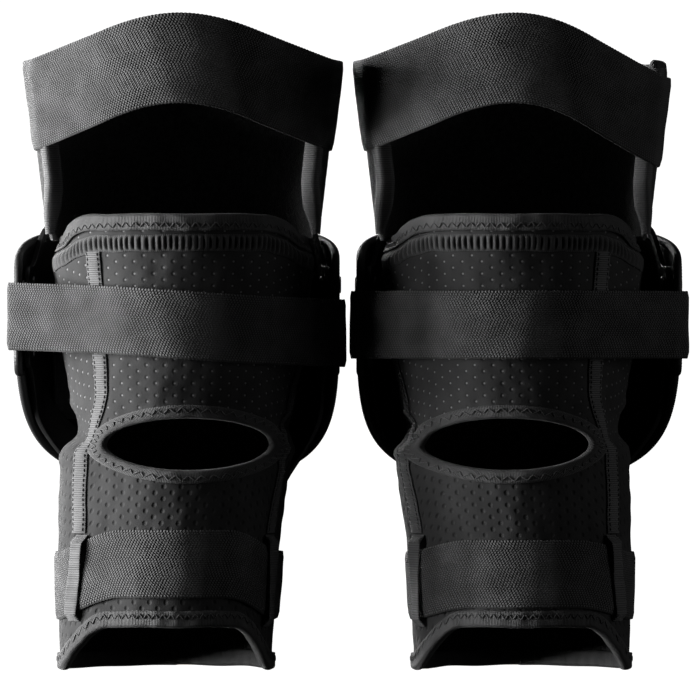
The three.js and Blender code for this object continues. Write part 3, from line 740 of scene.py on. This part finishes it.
def make_keeper(side, which):
    """A webbing loop for the shin strap, bar-tacked at both ends."""
    centre = tape_angle(which, TAPE_BOTTOM)
    lean, sag = (3.0, 0.8) if which == "outer" else (-2.0, 1.6)
    bottom = KEEPER_BOTTOM[which]

    def at(z, across, lift):
        t = (z + 88) / 26
        angle = centre + lean * t + sag * (1 - t * t) + np.degrees(across / 66)
        arch = smooth(bottom, bottom + 5, z) * smooth(KEEPER_TOP, KEEPER_TOP - 5, z)
        return leg(angle, z, np.maximum(sleeve_off(side, angle, z), SLEEVE_OUT) + lift + arch * 3.2)

    def place(u, v, w):
        z = mix(bottom, KEEPER_TOP, u)
        rib = 0.14 * np.abs(np.sin(z * np.pi / 1.7))
        curl = 0.9 * (v - 0.5) ** 2
        twist = 0.9 * (v - 0.5) * np.sin((z + 88) / 12)
        return at(z, mix(-3.9, 3.9, v), 0.3 + curl + twist + w * (0.9 + rib))

    loop = slab(f"keeper_{which}", side, place, LOOKS["grosgrain"], 220, 7, 7.8, 1.1, 50)
    join_guard(loop, side, "shin", "grosgrain", f"keeper_{which}")
    starts, ends = [], []
    for base in (bottom + 1, KEEPER_TOP - 4.5):
        z = base + np.arange(8) * 0.42
        jog = 0.5 * np.sin(np.arange(8) * 2.3)
        starts.append(at(z, -4.2 + jog, 1.5))
        ends.append(at(z + 0.1, 4.2 + jog, 1.5))
    starts, ends = np.concatenate(starts), np.concatenate(ends)
    outs = starts * (1, 1, 0)
    outs /= np.linalg.norm(outs, axis=1, keepdims=True)
    tack = stitches(f"keeper_{which}_tacks", side, starts, ends, outs, LOOKS["thread"], 0.3, 0.35)
    join_guard(tack, side, "shin", "thread")


# ---------------------------------------------------------------- straps
def strap(name, side, low, high, width, body, nodes):
    """Woven elastic between two edge lines, with small loops along both edges."""
    path, at = resample(np.concatenate([low, high], 1), 0.7)
    low, high = path[:, :3], path[:, 3:]
    up = high - low
    up /= np.linalg.norm(up, axis=1, keepdims=True)
    out = normals_along(mix(low, high, 0.5), up)
    if (out * mix(low, high, 0.5) * (1, 1, 0)).sum() < 0:
        out = -out
    outer, end, inner, start = pill_section(15)
    end[:, 0] = 1 + (end[:, 0] - 1) * STRAP_THICK / width
    start[:, 0] *= STRAP_THICK / width
    section = np.concatenate([outer, end, inner, start])
    v, w = section[:, 0], section[:, 1]
    picot = 0.35 * np.abs(np.sin(at * np.pi / 2.3))
    edge = smooth(0.04, 0.0, v) - smooth(0.96, 1.0, v)
    slack = 0.35 * waves(at[:, None], v[None, :] * width, 26, 8)
    rows = (v[None, :] * width) - picot[:, None] * edge[None, :]
    push = w[None, :] * STRAP_THICK * (1 - 0.35 * np.abs(edge)[None, :]) + slack
    rings = low[:, None] + up[:, None] * rows[..., None] + out[:, None] * push[..., None]
    along = np.concatenate([at, at[-1:]])
    across = np.concatenate([np.clip(v, 0, 1) * width, [0]])
    uv = np.stack(np.broadcast_arrays(along[:, None], across[None, :]), -1)
    piece = sweep(name, side, rings, LOOKS["strap"], uv=uv)
    return join_guard(piece, side, body, "strap", *nodes)


def stations_to_edges(stations, width):
    low = [place(middle - width / 2) for middle, place in stations]
    high = [place(middle + width / 2) for middle, place in stations]
    return np.array(low), np.array(high)


def on(surface, angle, middle, off):
    return middle, lambda z: surface(angle, z, off)


def make_thigh_strap(side):
    def middle(angle):
        edge = WORN[side]["thigh_outer"] if angle < 180 else THIGH_STRAP_INNER
        return float(mix(edge, THIGH_STRAP_BACK, smooth(106, 180, from_front(angle))))

    stations = [on(leg, a, middle(a), 9.7) for a in np.linspace(64, 112, 9)]
    stations += [on(leg, a, middle(a), 1.4) for a in np.linspace(144, 216, 11)]
    stations += [on(leg, 360 - a, middle(360 - a), 9.7) for a in np.linspace(112, 64, 9)]
    low, high = stations_to_edges(stations, THIGH_STRAP_WIDTH)
    strap("thigh_strap", side, low, high, THIGH_STRAP_WIDTH, "thigh", ["thigh_strap"])


def make_knee_strap(side):
    rise = WORN[side]["knee_rise"]

    def corner(sign, back, out):
        def place(z):
            rear = cup(sign * 90, z, KNEE_STRAP_LIFT)
            return rear + np.array([sign * out, back, 0])
        return KNEE_STRAP_Z + sign * rise, place

    def height(angle):
        return KNEE_STRAP_Z + rise * np.cos(np.radians(angle - 90))

    stations = [on(cup, a, KNEE_STRAP_Z + rise, KNEE_STRAP_LIFT) for a in np.linspace(62, 90, 6)]
    stations += [corner(1, -5.5, 0.4), corner(1, -8.0, -1.5)]
    stations += [on(leg, a, height(a), 6.9) for a in np.linspace(146, 217, 13)]
    stations += [corner(-1, -8.0, -1.5), corner(-1, -5.5, 0.4)]
    stations += [on(cup, -a, KNEE_STRAP_Z - rise, KNEE_STRAP_LIFT) for a in np.linspace(90, 62, 6)]
    low, high = stations_to_edges(stations, STRAP_WIDTH)
    strap("knee_strap", side, low, high, STRAP_WIDTH, "knee", ["knee_strap"])


def make_shin_strap(side):
    back = WORN[side]["shin_back"]

    def middle(angle):
        return float(mix(SHIN_STRAP_SIDE, back, smooth(104, 150, from_front(angle))))

    def off(angle):
        under = middle(angle) + np.linspace(-STRAP_WIDTH / 2, STRAP_WIDTH / 2, 9)
        return float(np.max(sleeve_off(side, angle, under))) + 0.3

    stations = [on(on_shin_pad, a, SHIN_STRAP_SIDE, 0.5) for a in np.linspace(70, 80, 4)]
    stations += [on(leg, a, middle(a), off(a)) for a in np.linspace(94, 266, 31)]
    stations += [on(on_shin_pad, -a, SHIN_STRAP_SIDE, 0.5) for a in np.linspace(80, 70, 4)]
    low, high = stations_to_edges(stations, STRAP_WIDTH)
    strap("shin_strap", side, low, high, STRAP_WIDTH, "shin", ["shin_strap"])


def make_tab(side, which):
    """A moulded hook tab: rounded tip, grip ridges across it."""
    surface, root, tip, z, width, off = {
        "thigh": (leg, 63.6, 42, WORN[side]["thigh_outer"], THIGH_TAB_WIDTH, 9.5),
        "knee": (cup, 61.6, 41, KNEE_STRAP_Z + WORN[side]["knee_rise"], TAB_WIDTH, KNEE_STRAP_LIFT),
        "shin": (on_shin_pad, 69.5, 51, SHIN_STRAP_SIDE, TAB_WIDTH, 0.5),
    }[which]

    def place(u, v, w):
        angle = mix(tip, root, u)
        nose = np.sqrt(np.clip(1 - (1 - np.clip(u / 0.34, 0, 1)) ** 2, 0, 1))
        half = width / 2 * mix(0.62, 1, nose)
        ridge = 0.35 * bell(np.mod(u * 14, 1), 0.5, 0.22) * smooth(0.5, 0.44, u) * smooth(0.06, 0.1, u)
        rim = 0.3 * smooth(0.88, 0.98, 2 * np.abs(v - 0.5))
        return surface(angle, z + (2 * v - 1) * half, off + w * (1.85 + ridge + rim))

    tab = slab("strap_tab_" + which, side, place, LOOKS["tab"], 120, 40, width, 1.9, 30)
    join_guard(tab, side, which + "_tab", "tab", f"{which}_strap_tab")


# ---------------------------------------------------------------- hard pieces
def cup_top(angle):
    return CUP_TOP - CUP_TOP_FALL * (np.abs(angle) / 90) ** 2.2


def cup_bottom(angle):
    return CUP_BOTTOM + CUP_BOTTOM_RISE * np.minimum(1, np.abs(angle) / 78) ** 2.8


def cup_corner(angle):
    t = np.clip((np.abs(angle) - 84) / 6, 0, 1)
    return CUP_CORNER * (1 - np.sqrt(1 - t * t))


def groove(x, z, x0, z0, length, width):
    """1 inside a rounded slot, falling to 0 at its edge."""
    along = np.maximum(np.abs(x - x0) - length / 2, 0)
    return smooth(width / 2 + 0.8, width / 2 - 0.8, np.hypot(along, z - z0))


def cup_relief(angle, z):
    """The moulded front: a raised shield with a ridge and six blind slots, and a groove on each side."""
    x = angle * 1.5
    shield = smooth(44, 41, np.abs(x) + 0.0035 * (z - 48) ** 2)
    relief = 1.8 * shield
    ridge = bell(x, 0, 5.5) * smooth(-22, 0, z) * smooth(112, 90, z)
    relief = relief + 1.2 * ridge
    for k in range(3):
        for sign in (-1, 1):
            slant = (np.abs(x) - 26) * 0.35
            relief = relief - 2.4 * groove(x, z - slant, sign * 24, 26 + 20 * k, 20, 5)
    for sign in (-1, 1):
        relief = relief - 1.3 * bell(x, sign * 62, 1.6) * smooth(10, 24, z) * smooth(108, 98, z)
    return relief


def make_cup(side):
    def place(u, v, w):
        angle = mix(-90, 90, u)
        low, high = cup_bottom(angle) + cup_corner(angle), cup_top(angle) - cup_corner(angle)
        z = mix(low, high, v)
        inset = smooth(0.0, 0.05, v) * smooth(1.0, 0.95, v)
        relief = cup_relief(angle, z) * inset * smooth(84, 76, np.abs(angle))
        return cup(angle, z, -CUP_THICK * (1 - w) + relief * (0.35 + 0.65 * w))

    shell = slab("knee_cup", side, place, LOOKS["shell"], 240, 120, 140, 3, 300, spread=True)
    join_guard(shell, side, "knee", "shell", "knee_cup")


def make_cup_trim(side):
    """A ribbed rubber bead round the cup's whole edge."""
    angles = np.linspace(0, 90, 91)
    lower = stack(angles, cup_bottom(angles) + cup_corner(angles))
    upper = stack(angles, cup_top(angles) - cup_corner(angles))
    half = np.concatenate([lower, [[90, 62]], upper[::-1]])
    outline = np.concatenate([half, (half * (-1, 1))[::-1][1:-1]])
    flat = outline * (CUP_ARC, 1)
    loop = np.concatenate([flat, flat[:1]])
    keep = np.concatenate([[True], np.linalg.norm(np.diff(loop, axis=0), axis=1) > 1e-6])
    loop = loop[keep]
    length = np.concatenate([[0], np.cumsum(np.linalg.norm(np.diff(loop, axis=0), axis=1))])
    at = np.linspace(0, length[-1], int(length[-1] / 0.42))[:-1]
    flat = stack(np.interp(at, length, loop[:, 0]), np.interp(at, length, loop[:, 1]))
    kernel = np.ones(9) / 9
    flat = stack(*[np.convolve(np.concatenate([c[-4:], c, c[:4]]), kernel, "valid") for c in flat.T])
    run = np.roll(flat, -1, 0) - np.roll(flat, 1, 0)
    run /= np.linalg.norm(run, axis=1, keepdims=True)
    flat = flat + stack(run[:, 1], -run[:, 0]) * 2.2
    centre = cup(flat[:, 0] / CUP_ARC, flat[:, 1], -CUP_THICK / 2)
    tangent = np.roll(centre, -1, 0) - np.roll(centre, 1, 0)
    tangent /= np.linalg.norm(tangent, axis=1, keepdims=True)
    out = cup(flat[:, 0] / CUP_ARC, flat[:, 1], 0) - centre
    out /= np.linalg.norm(out, axis=1, keepdims=True)
    aside = np.cross(tangent, out)
    turn = np.linspace(0, 2 * np.pi, 14, endpoint=False)
    radius = 2.5 + 0.16 * np.abs(np.sin(at * np.pi / 1.8))
    circle = np.cos(turn)[None, :, None] * out[:, None] + np.sin(turn)[None, :, None] * aside[:, None]
    rings = centre[:, None] + circle * radius[:, None, None]
    trim = sweep("cup_edge_trim", side, rings, LOOKS["rubber"], closed=True)
    join_guard(trim, side, "knee", "rubber", "cup_edge_trim")


def ear_half(angle):
    past = np.clip(np.abs(angle) - PIVOT_ANGLE, 0, 6.55) * CUP_ARC
    return np.sqrt(EAR_RADIUS**2 - past**2)


def plate_relief(angle, v):
    """Raised centre rib and two long flutes, fading out at the ends."""
    fade = smooth(0.04, 0.14, v) * smooth(0.96, 0.86, v)
    relief = 1.4 * smooth(14, 9, np.abs(angle))
    for centre in (-22, 22):
        relief = relief - 1.1 * bell(angle, centre, 2.2)
    return relief * fade


def make_thigh_shell(side):
    def place(u, v, w):
        angle = mix(-87, 87, u)
        a = np.abs(angle)
        plate = THIGH_SHELL_TOP - 14 * smooth(14, 36, a)
        arm = mix(150, THIGH_PIVOT_Z + ear_half(a), smooth(44, 74, a))
        top = mix(plate, arm, smooth(34, 44, a))
        bottom = mix(134, THIGH_PIVOT_Z - ear_half(a), smooth(50, 76, a))
        z = mix(bottom, top, v)
        off = 10 + 3 * w + w * plate_relief(angle, v)
        return eared(angle, z, off, EAR_OUT - EAR_THICK * (1 - w))

    shell = slab("thigh_shell", side, place, LOOKS["shell"], 220, 70, 100, 3, 260, spread=True)
    join_guard(shell, side, "thigh", "shell", "thigh_shell")


def make_shin_plate(side):
    def place(u, v, w):
        angle = mix(-87, 87, u)
        a = np.abs(angle)
        top = mix(SHIN_SHELL_TOP, SHIN_PIVOT_Z + ear_half(a), smooth(44, 74, a))
        arm = mix(-50, SHIN_PIVOT_Z - ear_half(a), smooth(48, 78, a))
        bottom = mix(SHIN_BOTTOM + 12 * smooth(10, 40, a), arm, smooth(38, 48, a))
        z = mix(bottom, top, v)
        off = 11.3 + 3 * w + w * plate_relief(angle, v)
        return shin_eared(angle, z, off, EAR_OUT - EAR_THICK * (1 - w))

    shell = slab("shin_plate", side, place, LOOKS["shell"], 220, 80, 110, 3, 260, spread=True)
    join_guard(shell, side, "shin", "shell", "shin_plate")


def make_pivot(side, which, sign, z):
    """A shouldered rivet along X, from outside the cup to inside the ear."""
    face = float(cup(PIVOT_ANGLE, z, 0)[0])
    inner = face + EAR_OUT - EAR_THICK
    profile = [
        (0, inner - 2.8), (3.6, inner - 2.7), (5.1, inner - 1.9), (5.1, inner - 1.0), (3, inner - 0.9),
        (3, face + 0.7), (5.4, face + 0.8), (5.4, face + 1.4), (4.6, face + 2.3), (3.0, face + 2.4),
        (2.6, face + 1.7), (0, face + 1.6),
    ]
    name = f"{which}_pivot_{'outer' if sign > 0 else 'inner'}"
    rivet = lathe(name, side, profile, (0, PIVOT_Y, z), (sign, 0, 0), LOOKS["steel"])
    join_guard(rivet, side, "knee", "steel", name)


def make_loop_patch(side):
    z0 = KNEE_STRAP_Z + WORN[side]["knee_rise"]

    def place(u, v, w):
        pile = 0.25 * waves(u * 90, v * 60, 2.5, 9)
        return cup(mix(34, 66, u), z0 + mix(-21, 21, v), 0.4 + w * (1.7 + pile))

    patch = slab("cup_loop_patch", side, place, LOOKS["loop"], 110, 60, 42, 1.8, 56)
    join_guard(patch, side, "knee", "loop", "cup_loop_patch")


def make_strap_rivet(side):
    at = cup(-66, KNEE_STRAP_Z - WORN[side]["knee_rise"], KNEE_STRAP_LIFT + STRAP_THICK + 0.7)
    direction = (at - (0, CUP_REAR, at[2])) * (1, 1, 0)
    profile = [(0, 0), (5, 0), (5, 0.7), (4.2, 1.5), (2.4, 1.8), (0, 1.8)]
    rivet = lathe("knee_strap_rivet", side, profile, at, direction, LOOKS["steel"])
    join_guard(rivet, side, "knee", "steel", "knee_strap_rivet")


# ---------------------------------------------------------------- padding
def quilted(u, v, columns, rows):
    """Height of quilting from 0 on its seams to 1 in the middle of a cell."""
    across = np.abs(np.sin(np.pi * u * columns))
    up = np.abs(np.sin(np.pi * v * rows))
    return (across * up) ** 0.35


def pad_rear(z):
    return mix(99, 112, smooth(114, 150, z))


def pad_inside(z):
    """The cuff's lower corners are pressed thin where they meet the sleeve's upper edge."""
    return mix(5.0, 1.0, smooth(116, 134, z))


def make_thigh_pad(side):
    def place(u, v, w):
        s = 2 * u - 1
        low = mix(127, 115.5, smooth(0.3, 0.6, np.abs(s)))
        high = THIGH_PAD_TOP - THIGH_PAD_FALL * smooth(0.12, 0.6, np.abs(s))
        z = mix(low, high, v)
        crown = quilted(np.clip(u, 0, 1), np.clip(v, 0, 1), 6, 3)
        soft = 1 - 0.2 * np.abs(2 * np.clip(v, 0, 1) - 1) ** 8
        pile = 0.18 * waves(u * 330, v * 110, 3.1, 9)
        inside = pad_inside(z) + 0.5 * crown
        return leg(s * pad_rear(z), z, mix(inside, THIGH_PAD_OUT * soft + pile, w))

    pad = slab("thigh_pad", side, place, LOOKS["loop"], 200, 60, 110, 7, 330)
    join_guard(pad, side, "thigh", "loop", "thigh_pad")


def make_cuff_binding(side, sign):
    """The ribbed tape folded over the cuff's rear edge."""
    z = np.linspace(116, 214, 260)
    # The tape's section: millimetres past the cuff's edge, and the share of the cuff's thickness.
    reach = np.array([
        -6, -3, 0, 1.1, 1.6, 1.6, 1.1, 0, -3, -6,
        -6, -3, -0.2, 0.6, 0.9, 0.9, 0.6, -0.2, -3, -6,
    ])
    share = np.array([
        1.12, 1.12, 1.1, 0.95, 0.7, 0.3, 0.05, -0.1, -0.12, -0.12,
        -0.03, -0.03, -0.01, 0.12, 0.35, 0.65, 0.88, 1.01, 1.03, 1.03,
    ])
    angle = sign * (pad_rear(z)[:, None] + np.degrees(reach[None, :] / 84))
    wide = z[:, None] + 0 * reach[None, :]
    rib = 0.12 * np.abs(np.sin(z * np.pi / 1.5))[:, None] * np.where(share > 0.5, 1, -1)[None, :]
    inside = pad_inside(wide)
    rings = leg(angle, wide, mix(inside, THIGH_PAD_OUT, share[None, :]) + rib)
    name = "cuff_binding_" + ("outer" if sign > 0 else "inner")
    tape = sweep(name, side, rings, LOOKS["grosgrain"])
    join_guard(tape, side, "thigh", "grosgrain")


def make_knee_pad(side):
    def place(u, v, w):
        angle = mix(-51, 51, u)
        puff = quilted(np.clip(u, 0, 1), np.clip(v, 0, 1), 5, 4)
        off = mix(-11.5 - 1.6 * puff, -4.3, w)
        return cup(angle, mix(9, 93, v), off)

    pad = slab("knee_pad", side, place, LOOKS["foam"], 120, 80, 84, 8, 160)
    join_guard(pad, side, "knee", "foam", "knee_pad")


def make_shin_pad(side):
    def place(u, v, w):
        s = 2 * u - 1
        low = SHIN_BOTTOM + 8 * smooth(0.5, 1, np.abs(s))
        high = -16 - 22 * smooth(0.4, 1, np.abs(s))
        puff = quilted(np.clip(u, 0, 1), np.clip(v, 0, 1), 4, 4)
        thick = shin_pad_thick(74 * s)
        return leg(74 * s, mix(low, high, v), SHIN_PAD_IN + mix(1.0 - 1.2 * puff, thick, w))

    pad = slab("shin_pad", side, place, LOOKS["foam"], 120, 80, 112, 6, 165)
    join_guard(pad, side, "shin", "foam", "shin_pad")


# ---------------------------------------------------------------- stage
def make_camera():
    target = Vector(CAMERA_TARGET)
    camera = bpy.data.objects.new("camera", bpy.data.cameras.new("camera"))
    camera.location = target + Vector((0, -CAMERA_DISTANCE, 0))
    camera.rotation_euler = (target - camera.location).to_track_quat("-Z", "Y").to_euler()
    camera.data.lens = CAMERA_LENS
    camera.data.sensor_width = CAMERA_SENSOR
    bpy.context.scene.collection.objects.link(camera)
    bpy.context.scene.camera = camera


def make_light(name, place, size, power):
    light = bpy.data.lights.new(name, "AREA")
    light.shape = "RECTANGLE"
    light.size, light.size_y = size
    light.energy = power
    lamp = bpy.data.objects.new(name, light)
    lamp.location = place
    lamp.rotation_euler = (Vector(LIGHT_TARGET) - Vector(place)).to_track_quat("-Z", "Y").to_euler()
    bpy.context.scene.collection.objects.link(lamp)


def glowing_white(name, glow):
    look = Look(name, roughness=0.9)
    look.shader.inputs["Emission Color"].default_value = (1, 1, 1, 1)
    look.shader.inputs["Emission Strength"].default_value = glow
    return look.finish((0, 0, 0, 1))


def make_stage():
    """A white sphere round every camera, which only the camera sees, a faint world and four area lights."""
    bpy.ops.mesh.primitive_uv_sphere_add(segments=48, ring_count=24, radius=BACKDROP_RADIUS)
    backdrop = bpy.context.object
    backdrop.name = "backdrop"
    backdrop.data.materials.append(glowing_white("white_backdrop", BACKDROP_GLOW))
    backdrop.visible_diffuse = False
    backdrop.visible_glossy = False
    backdrop.visible_shadow = False
    backdrop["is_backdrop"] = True
    world = bpy.data.worlds.new("studio")
    world.use_nodes = True
    background = world.node_tree.nodes["Background"]
    background.inputs[0].default_value = (WORLD_GREY, WORLD_GREY, WORLD_GREY, 1)
    background.inputs[1].default_value = WORLD_STRENGTH
    bpy.context.scene.world = world
    bpy.context.scene.view_settings.view_transform = "Standard"
    for light in LIGHTS:
        make_light(*light)


def make_guard(side):
    sleeve = make_sleeve(side)
    sewn_on = [
        folded_hem("top_hem", side, sleeve_top, 1, ["top_hem"], "knee"),
        folded_hem("bottom_hem", side, hem_height, -1, ["bottom_hem"], "shin"),
        make_gather_band(side),
        make_opening_binding(side),
    ]
    for which in ("outer", "inner"):
        sewn_on.append(make_seam_tape(side, which))
        make_keeper(side, which)
    make_thigh_strap(side)
    make_knee_strap(side)
    make_shin_strap(side)
    for which in ("thigh", "knee", "shin"):
        make_tab(side, which)
    make_cup(side)
    make_cup_trim(side)
    make_thigh_shell(side)
    make_shin_plate(side)
    for sign in (1, -1):
        make_pivot(side, "thigh", sign, THIGH_PIVOT_Z)
        make_pivot(side, "shin", sign, SHIN_PIVOT_Z)
        make_cuff_binding(side, sign)
    make_loop_patch(side)
    make_strap_rivet(side)
    make_thigh_pad(side)
    make_knee_pad(side)
    make_shin_pad(side)


make_camera()
make_stage()
for guard_side in SIDES:
    make_guard(guard_side)

boxes = [[list(corner) for corner in box] for box in (cad_box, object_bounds())]
